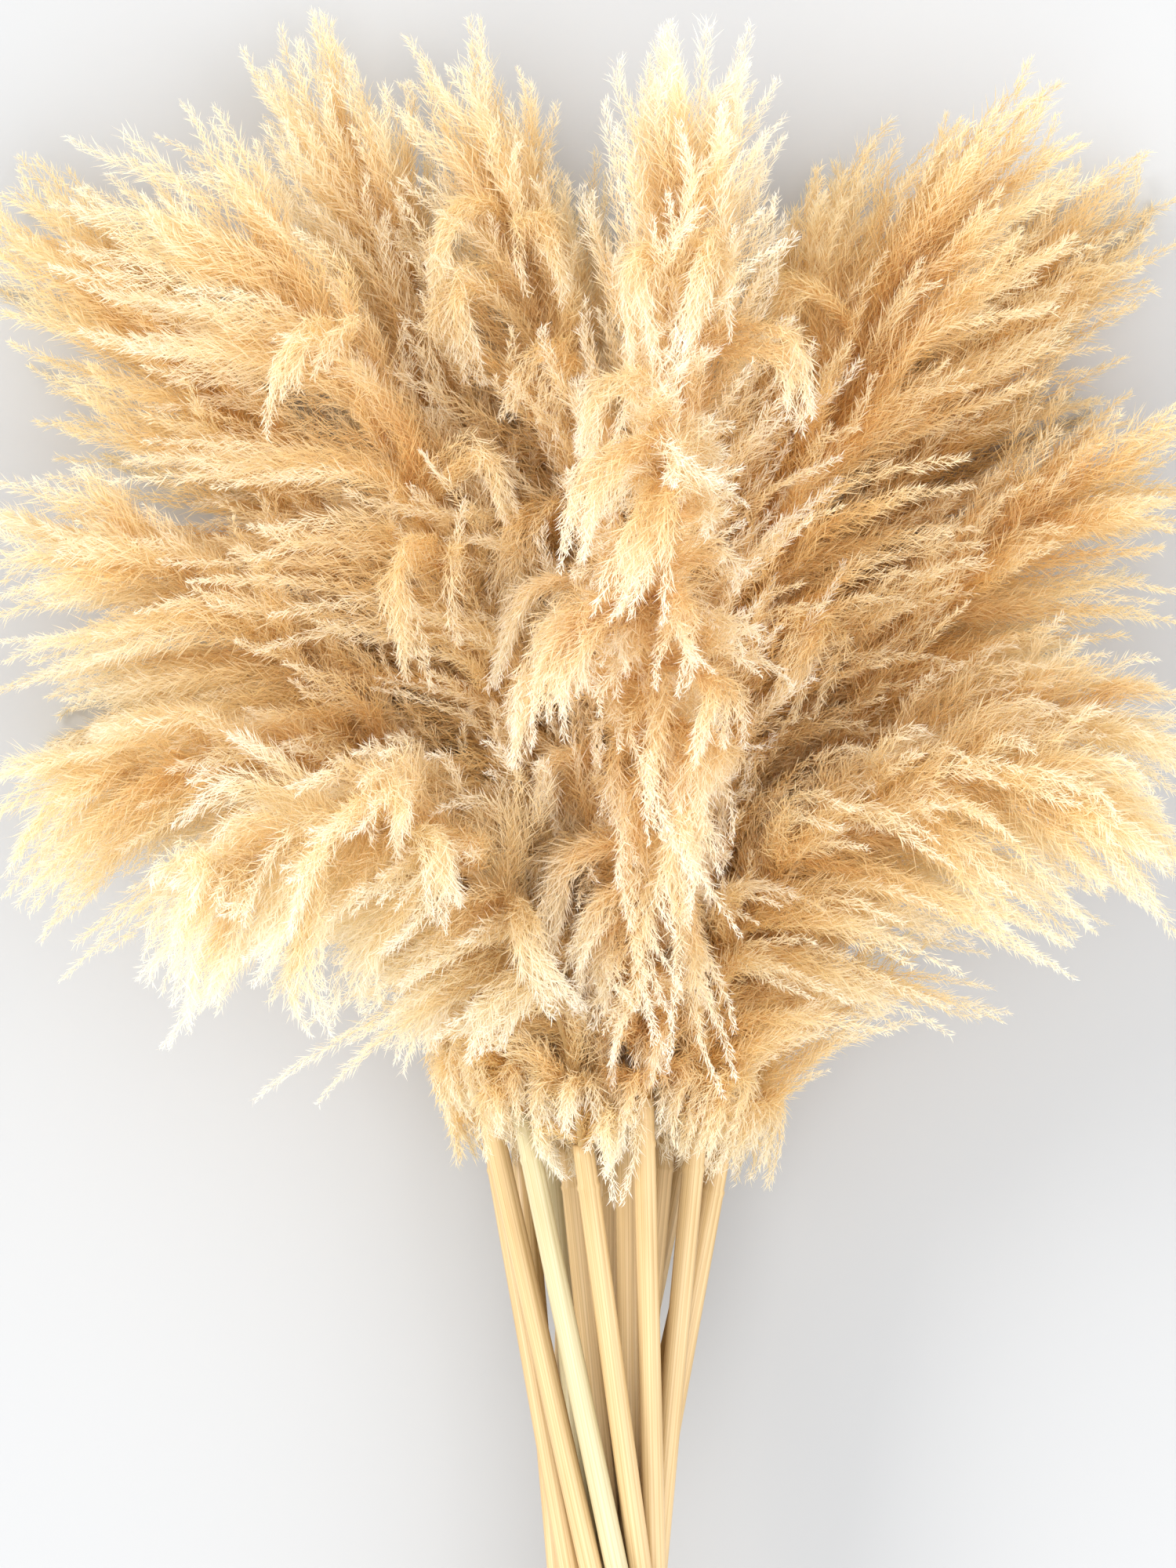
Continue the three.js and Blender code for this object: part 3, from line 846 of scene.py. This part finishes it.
# %% [markdown]
# ## Canes
#
# A dry cane is smooth and slightly glossy, with fine streaks along it. It tapers towards the plume,
# and near its top a thin collar shows where the last leaf was torn off. The cut end is a ring of
# hard straw round pale pith. A cane is a swept outline, so it is built ring by ring.


# %% Sweep a ring along a line
STRAW_MAP = "straw_map"


def swept(name, rings):
    """A closed mesh through rings of points, with a map: round the ring, and along it in metres."""
    rings = np.array(rings)
    count, sides = rings.shape[:2]
    middles = rings.mean(axis=1)
    vertices = np.concatenate([rings.reshape(-1, 3), middles[:1], middles[-1:]])
    faces, maps = [], []
    lengths = np.concatenate([[0], np.cumsum(np.linalg.norm(np.diff(middles, axis=0), axis=1))])
    for k in range(count - 1):
        for j in range(sides):
            n = (j + 1) % sides
            faces.append((k * sides + j, k * sides + n, (k + 1) * sides + n, (k + 1) * sides + j))
            a, b = j / sides, (j + 1) / sides
            maps += [(a, lengths[k]), (b, lengths[k]), (b, lengths[k + 1]), (a, lengths[k + 1])]
    for j in range(sides):
        n = (j + 1) % sides
        faces.append((n, j, count * sides))
        faces.append(((count - 1) * sides + j, (count - 1) * sides + n, count * sides + 1))
        a, b = j / sides, (j + 1) / sides
        maps += [(b, 0), (a, 0), (a, 0), (a, lengths[-1]), (b, lengths[-1]), (a, lengths[-1])]
    mesh = bpy.data.meshes.new(name)
    mesh.from_pydata(vertices.tolist(), [], faces)
    mesh.uv_layers.new(name=STRAW_MAP).data.foreach_set("uv", np.array(maps, np.float32).ravel())
    mesh.polygons.foreach_set("use_smooth", [True] * len(faces))
    piece = bpy.data.objects.new(name, mesh)
    bpy.context.scene.collection.objects.link(piece)
    return piece


def ring(middle, along, radius, sides):
    """Points on a circle round a place, square to a direction. The first one is underneath."""
    across = unit(np.cross(along, [0, 0, 1]))
    front = np.cross(across, along)
    turn = -math.pi / 2 + np.linspace(0, math.tau, sides, endpoint=False)
    return middle + radius * (np.cos(turn)[:, None] * across + np.sin(turn)[:, None] * front)


square = ring(np.zeros(3), np.array([0.0, 1.0, 0.0]), MM, 4)
print("a ring of four starts underneath, at", square[0].round(4).tolist())


# %% Straw and pith
STREAKS = (38, 5, 1)  # how often the streaks repeat round the cane and in a metre of it
PATCHES = (3, 9, 1)
STREAK_DEPTH = 0.2 * MM
PITH_PORES = 1500.0  # in a metre
PITH_COLOURS = [(0.35, (0.48, 0.36, 0.20)), (0.6, (0.80, 0.70, 0.50))]


def cane_material(name, pale, dark):
    """Satin straw with streaks that run along the cane."""
    material, tree, shader = new_material(name)
    # The map runs once round the cane and in metres along it, so a pattern that is long in the
    # second direction becomes streaks. The seam is on the underside.
    spot = add(tree, "ShaderNodeUVMap", uv_map=STRAW_MAP).outputs[0]
    squeezed = add(tree, "ShaderNodeMapping", {"Vector": spot, "Scale": STREAKS})
    streaks = add(tree, "ShaderNodeTexNoise", {"Vector": squeezed.outputs[0], "Scale": 1.0, "Detail": 3.0})
    broad = add(tree, "ShaderNodeMapping", {"Vector": spot, "Scale": PATCHES})
    patches = add(tree, "ShaderNodeTexNoise", {"Vector": broad.outputs[0], "Scale": 1.0, "Detail": 2.0})
    streak = ramp(tree, streaks.outputs["Fac"], [(0.32, dark), (0.62, pale)])
    patch = ramp(tree, patches.outputs["Fac"], [(0.3, (0.90, 0.85, 0.76)), (0.65, (1, 1, 1))])
    colour = mixed(tree, 1.0, streak, patch, "MULTIPLY")
    tree.links.new(colour, shader.inputs["Base Color"])
    shader.inputs["Roughness"].default_value = 0.42
    shader.inputs["Specular IOR Level"].default_value = 0.45
    relief = {"Height": streaks.outputs["Fac"], "Strength": 0.2, "Distance": STREAK_DEPTH}
    bump = add(tree, "ShaderNodeBump", relief)
    tree.links.new(bump.outputs[0], shader.inputs["Normal"])
    return material


CANE_SLOTS = {
    "straw": cane_material("straw", (0.69, 0.51, 0.28), (0.50, 0.34, 0.15)),
    "straw_pale": cane_material("straw_pale", (0.64, 0.57, 0.37), (0.50, 0.43, 0.24)),
}


def pith_material():
    """Pale, spongy pith with dark pores."""
    material, tree, shader = new_material("pith")
    spot = add(tree, "ShaderNodeTexCoord").outputs["Object"]
    pores = add(tree, "ShaderNodeTexNoise", {"Vector": spot, "Scale": PITH_PORES, "Detail": 2.0})
    colour = ramp(tree, pores.outputs["Fac"], PITH_COLOURS)
    tree.links.new(colour, shader.inputs["Base Color"])
    shader.inputs["Roughness"].default_value = 0.95
    shader.inputs["Specular IOR Level"].default_value = 0.2
    return material


PITH = pith_material()
print("cane finishes", list(CANE_SLOTS), "and pith")

# %% Build the canes
CANE_SIDES = 28
CANE_RINGS = 26
PITH_SHARE = 0.72  # of the cane's radius
PITH_DEPTH = 0.6 * MM  # from the cut end
BEVEL = 0.8 * MM  # of the cut edge
LEAST_RADIUS = 0.05 * MM  # of the first ring, in the middle of the pith
COLLAR_AT = 0.955  # share of the cane below its collar
COLLAR_SIZE = 1.07  # all sizes here are shares of the cane's own radius
NECK_SIZE = 0.97
TOP_SIZE = 0.95


def cane(name):
    """Builds one cane, from the pith of its cut end to its top, and puts it in its place."""
    (cut, low_radius), (top, high_radius) = CANES[name]
    along = unit(top - cut)
    length = np.linalg.norm(top - cut)
    # Each stop is a place along the cane, as a share of its length, and a size.
    stops = [
        (0.0, 0.0),
        (PITH_DEPTH / length, PITH_SHARE),
        (0.0, PITH_SHARE + 0.04),
        (0.0, 0.94),
        (BEVEL / length, 1.0),
    ]
    stops += [(share, 1.0) for share in np.linspace(0.02, COLLAR_AT - 0.012, CANE_RINGS)]
    stops += [
        (COLLAR_AT - 0.004, 1.0),
        (COLLAR_AT, COLLAR_SIZE),
        (COLLAR_AT + 0.002, COLLAR_SIZE),
        (COLLAR_AT + 0.005, NECK_SIZE),
        (0.985, NECK_SIZE),
        (1.0, TOP_SIZE),
    ]
    rings = []
    for share, size in stops:
        radius = size * (low_radius + (high_radius - low_radius) * share)
        rings.append(ring(cut + along * length * share, along, max(radius, LEAST_RADIUS), CANE_SIDES))
    piece = swept("pampas_cane_" + name, rings)
    slot = SLOT_OF["stem_" + name]
    piece.data.materials.append(CANE_SLOTS[slot])
    piece.data.materials.append(PITH)
    # The first band of faces is the pith. The hard straw round it keeps the cane's own finish.
    for face in piece.data.polygons[:CANE_SIDES]:
        face.material_index = 1
    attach(piece, "root")
    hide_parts("stem_" + name)
    return piece


for name in NAMES:
    cane(name)
print("canes", len(NAMES))

# %% [markdown]
# ## Twine
#
# Seven turns of jute twine hold the waist. Twine is three yarns laid round each other, so its line
# is a helix round the bundle, and each yarn is a smaller helix round that line. Both ends are tucked
# under the turn beside them, and loose fibres stand off the twine everywhere.

# %% Wind the twine
TWINE_DIAMETER = 3 * MM
TURNS = 7
YARNS = 3
YARN_SIDES = 5
YARN_OFFSET = 0.23 * TWINE_DIAMETER  # from the middle of the twine to the middle of a yarn
YARN_RADIUS = 0.2 * TWINE_DIAMETER
LAY_LENGTH = 11 * MM
UNEVEN_LAY = 0.3  # turns by which the twist runs ahead and behind
UNEVEN_OVER = 61 * MM
TWINE_STEP = 1.5 * MM
TUCK = 16 * MM  # the length at each end that goes under its neighbour
TUCK_DEPTH = 0.9 * TWINE_DIAMETER
FIBRES = 900
FIBRE_LENGTH = (1.5, 4)  # in millimetres
FIBRE_RADIUS = 0.05 * MM
FIBRE_PATTERN = 1400.0  # in a metre
TWINE_COLOURS = [(0.3, (0.30, 0.19, 0.09)), (0.7, (0.62, 0.46, 0.26))]

tie_low, tie_high = (np.array(corner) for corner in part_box("twine_tie"))
waist = (tie_low + tie_high) / 2
# A helix of seven turns takes up the height of eight diameters.
winding_height = TWINE_DIAMETER * (TURNS + 1)
turn_radius = (tie_high[0] - tie_low[0]) / 2 - TWINE_DIAMETER / 2


def twine_line(points_at):
    """The middle of the twine at lengths along it, and the directions out from the bundle there."""
    angle = points_at / turn_radius
    rise = angle / math.tau * TWINE_DIAMETER - winding_height / 2 + TWINE_DIAMETER / 2
    across = np.array([1.0, 0, 0])
    front = np.cross(across, UPWARDS)
    radial = np.cos(angle)[:, None] * across + np.sin(angle)[:, None] * front
    at_start = np.clip(1 - points_at / TUCK, 0, 1) ** 2
    at_end = np.clip(1 - (points_at[-1] - points_at) / TUCK, 0, 1) ** 2
    rise = rise + TWINE_DIAMETER * (at_start - at_end)
    radius = turn_radius - TUCK_DEPTH * (at_start + at_end)
    middle = waist + radial * radius[:, None] + rise[:, None] * UPWARDS
    return middle, radial


twine_length = TURNS * math.tau * turn_radius
steps = np.arange(0, twine_length, TWINE_STEP)
middle, radial = twine_line(steps)
print("one turn is", round(math.tau * turn_radius, 4), "m of twine")


# %% Jute
def twine_material():
    """Rough jute, darker between its fibres."""
    material, tree, shader = new_material("twine")
    spot = add(tree, "ShaderNodeTexCoord").outputs["Object"]
    fibres = add(tree, "ShaderNodeTexNoise", {"Vector": spot, "Scale": FIBRE_PATTERN, "Detail": 3.0})
    colour = ramp(tree, fibres.outputs["Fac"], TWINE_COLOURS)
    tree.links.new(colour, shader.inputs["Base Color"])
    shader.inputs["Roughness"].default_value = 0.9
    return material


TWINE = twine_material()
print("twine finish", TWINE.name)


# %% Lay the yarns
def yarn(number):
    """One of the three yarns, as a helix round the middle of the twine."""
    uneven = UNEVEN_LAY * np.sin(steps / UNEVEN_OVER)
    phase = math.tau * (steps / LAY_LENGTH + number / YARNS + uneven)
    place = middle + YARN_OFFSET * (np.cos(phase)[:, None] * radial + np.sin(phase)[:, None] * UPWARDS)
    along = unit(np.gradient(place, axis=0))
    side_a = unit(np.cross(along, radial))
    side_b = np.cross(along, side_a)
    round_it = np.linspace(0, math.tau, YARN_SIDES, endpoint=False)
    rings = (
        place[:, None, :]
        + YARN_RADIUS * np.cos(round_it)[None, :, None] * side_a[:, None, :]
        + YARN_RADIUS * np.sin(round_it)[None, :, None] * side_b[:, None, :]
    )
    piece = swept("yarn", rings)
    piece.data.materials.append(TWINE)
    return piece


def loose_fibres(count, seed):
    """Loose fibres that stand off the twine, one slim triangle each."""
    draw = np.random.default_rng(seed)
    at = draw.integers(len(steps), size=count)
    heading = unit(draw.standard_normal((count, 3)) + 0.8 * radial[at])
    across = unit(np.cross(heading, draw.standard_normal((count, 3))))
    root = middle[at] + 0.3 * TWINE_DIAMETER * heading
    tip = root + heading * draw.uniform(*FIBRE_LENGTH, (count, 1)) * MM
    vertices = np.stack([root - across * FIBRE_RADIUS, root + across * FIBRE_RADIUS, tip], axis=1)
    corners = np.arange(count * 3).reshape(-1, 3)
    mesh = bpy.data.meshes.new("fibres")
    mesh.from_pydata(vertices.reshape(-1, 3).tolist(), [], corners.tolist())
    mesh.uv_layers.new(name=STRAW_MAP)
    mesh.materials.append(TWINE)
    piece = bpy.data.objects.new("fibres", mesh)
    bpy.context.scene.collection.objects.link(piece)
    return piece


yarns = [yarn(number) for number in range(YARNS)]
twine = join_meshes("twine_winding", yarns + [loose_fibres(FIBRES, 5)])
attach(twine, "root")
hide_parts("twine_tie")
print("twine", len(twine.data.polygons), "faces,", round(twine_length, 2), "m")

# %% [markdown]
# ## Table, light and camera
#
# The bundle lies on a plain, pale table. A soft lamp from the left stands for a bright window. One
# from above and one from the right are softer still and keep the shadows open. All three are distant
# suns, so the table is lit evenly from every side of view. The camera looks straight down.

# %% Table and world
TABLE_HALF = 40.0  # wide enough to reach the horizon of a low view
TABLE_COLOUR = (0.468, 0.476, 0.488, 1)
SKY_COLOUR = (0.95, 0.97, 1.0, 1)
SKY_STRENGTH = 0.92

floor_mesh = bpy.data.meshes.new("table")
corners = [(x * TABLE_HALF, y * TABLE_HALF, 0) for x, y in ((-1, -1), (1, -1), (1, 1), (-1, 1))]
floor_mesh.from_pydata(corners, [], [(0, 1, 2, 3)])
floor = bpy.data.objects.new("table", floor_mesh)
bpy.context.scene.collection.objects.link(floor)
matt, _, shader = new_material("table")
shader.inputs["Base Color"].default_value = TABLE_COLOUR
shader.inputs["Roughness"].default_value = 0.9
floor_mesh.materials.append(matt)

world = bpy.data.worlds.new("studio")
world.use_nodes = True
world.node_tree.nodes["Background"].inputs["Color"].default_value = SKY_COLOUR
world.node_tree.nodes["Background"].inputs["Strength"].default_value = SKY_STRENGTH
bpy.context.scene.world = world
bpy.context.scene.view_settings.view_transform = "Standard"
print("table", floor.dimensions.x, "m wide, sky strength", SKY_STRENGTH)


# %% Lamps and camera
def lamp(name, side, height, softness, strength, colour):
    """A distant lamp at a side and a height, both in degrees. Its softness is its width in degrees."""
    light = bpy.data.lights.new(name, "SUN")
    light.angle = math.radians(softness)
    light.energy = strength
    light.color = colour
    holder = bpy.data.objects.new(name, light)
    turn, rise = math.radians(side), math.radians(height)
    place = Vector((math.cos(turn) * math.cos(rise), math.sin(turn) * math.cos(rise), math.sin(rise)))
    holder.rotation_euler = (-place).to_track_quat("-Z", "Y").to_euler()
    bpy.context.scene.collection.objects.link(holder)
    print("lamp", name, "from side", side, "and height", height, "with strength", strength)


# name: side, height, softness, strength, colour
LAMPS = {
    "window": (165, 30, 30, 2.5, (1.0, 0.97, 0.92)),
    "ceiling": (280, 72, 60, 1.6, (1.0, 0.99, 0.96)),
    "fill": (350, 35, 60, 1.4, (1.0, 0.985, 0.97)),
}
for name, values in LAMPS.items():
    lamp(name, *values)

VIEW_HEIGHT = 2000  # the view is that many steps high
SCALE = 0.45 * MM  # of the bundle for each step, at the height that the camera focuses on
WAIST_ABOVE_EDGE = -50  # steps from the lower edge of the view up to the waist, which is below it
WAIST_RIGHT_OF_MIDDLE = 25  # steps
CAMERA_DISTANCE = 6.0  # far away, so that near plumes don't look too large
FOCUS_HEIGHT = 0.08  # above the waist
SENSOR = 36

camera_data = bpy.data.cameras.new("camera")
camera_data.sensor_fit = "VERTICAL"
camera_data.sensor_height = SENSOR
camera_data.lens = SENSOR * CAMERA_DISTANCE / (VIEW_HEIGHT * SCALE)
camera = bpy.data.objects.new("camera", camera_data)
camera.location = (
    waist[0] - WAIST_RIGHT_OF_MIDDLE * SCALE,
    waist[1] + (VIEW_HEIGHT / 2 - WAIST_ABOVE_EDGE) * SCALE,
    waist[2] + FOCUS_HEIGHT + CAMERA_DISTANCE,
)
bpy.context.scene.collection.objects.link(camera)
bpy.context.scene.camera = camera
print("camera at", [round(c, 3) for c in camera.location], "lens", round(camera_data.lens, 1))
